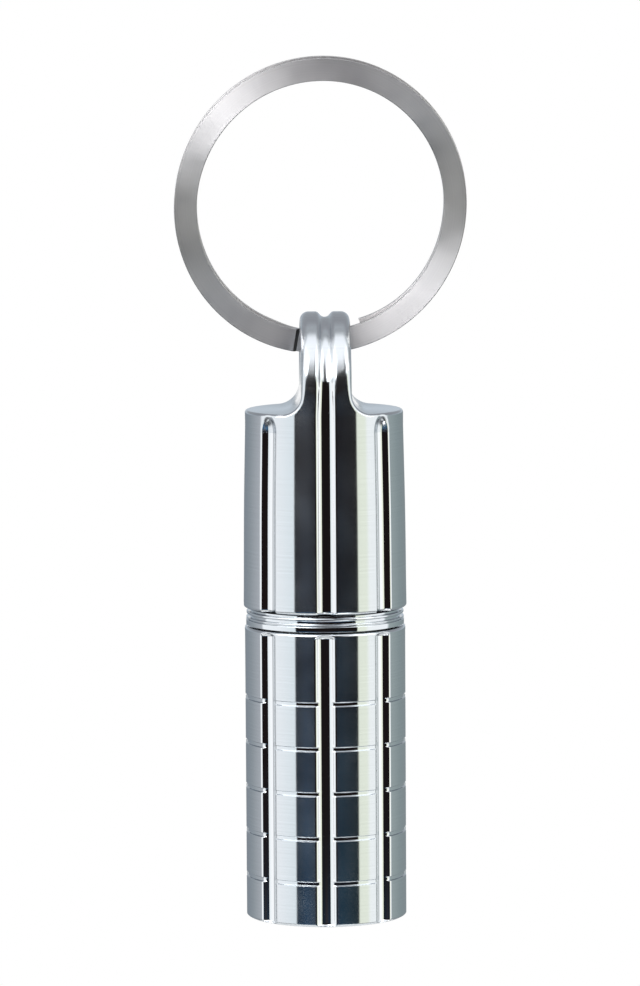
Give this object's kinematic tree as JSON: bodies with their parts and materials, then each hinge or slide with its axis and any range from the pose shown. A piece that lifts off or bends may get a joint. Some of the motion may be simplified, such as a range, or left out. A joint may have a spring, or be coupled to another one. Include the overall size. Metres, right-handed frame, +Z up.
{
  "type": "cigar punch keychain",
  "caption": "Pocket cigar punch on a flat split ring: a fluted cylinder whose lower grip twists to drive a round tube blade out of the nose.",
  "frame": {"origin": "the point inside the top of the split ring, on its inner edge, where a hook or a finger carries it", "axes": "+Z up along the body, from the nose towards the ring; the front of the picture faces -Y; +X to the right in the picture"},
  "size_m": [0.0298, 0.0168, 0.0883],
  "materials": {
    "ring_steel": "flat spring-steel wire, brushed round the ring and nickel plated",
    "polished_steel": "turned stainless steel, polished with faint lathe lines",
    "blade_steel": "hardened stainless steel, ground at the edge",
    "machined_steel": "plain machined stainless steel",
    "spring_steel": "dark hardened spring steel",
    "brass": "machined brass",
    "nylon": "natural nylon, satin",
    "rubber": "black nitrile rubber, matt"
  },
  "bodies": {
    "key_ring": {"split_ring": "ring_steel"},
    "cap_unit": {"cap": "polished_steel", "collar_ring": "polished_steel", "core_tube": "machined_steel", "friction_ring": "rubber", "wave_washer": "spring_steel", "thrust_washer": "nylon", "retaining_ring": "spring_steel", "ejector_rod": "machined_steel", "ejector_disc": "nylon", "rod_lock_nut": "brass"},
    "sleeve_unit": {"grip_sleeve": "polished_steel", "cam_tube": "brass", "nose_bush": "polished_steel", "wiper_ring": "rubber"},
    "blade_unit": {"punch_blade": "blade_steel", "blade_washer": "spring_steel", "blade_carrier": "brass", "drive_pin_right": "machined_steel", "drive_pin_left": "machined_steel"}
  },
  "joints": [
    {"name": "body_swing", "type": "hinge", "parent": "key_ring", "child": "cap_unit", "pos_m": [0, 0, -0.02793], "axis": [1, 0, 0], "range_deg": [-155, 155]},
    {"name": "sleeve_twist", "type": "hinge", "parent": "cap_unit", "child": "sleeve_unit", "pos_m": [0, 0, -0.05586], "axis": [0, 0, 1], "range_deg": [0, 180]},
    {"name": "blade_slide", "type": "slide", "parent": "cap_unit", "child": "blade_unit", "axis": [0, 0, -1], "range_m": [0, 0.008]}
  ],
  "couplings": [
    {"joint": "blade_slide", "follows": "sleeve_twist", "m_per_rad": 0.0025465}
  ]
}
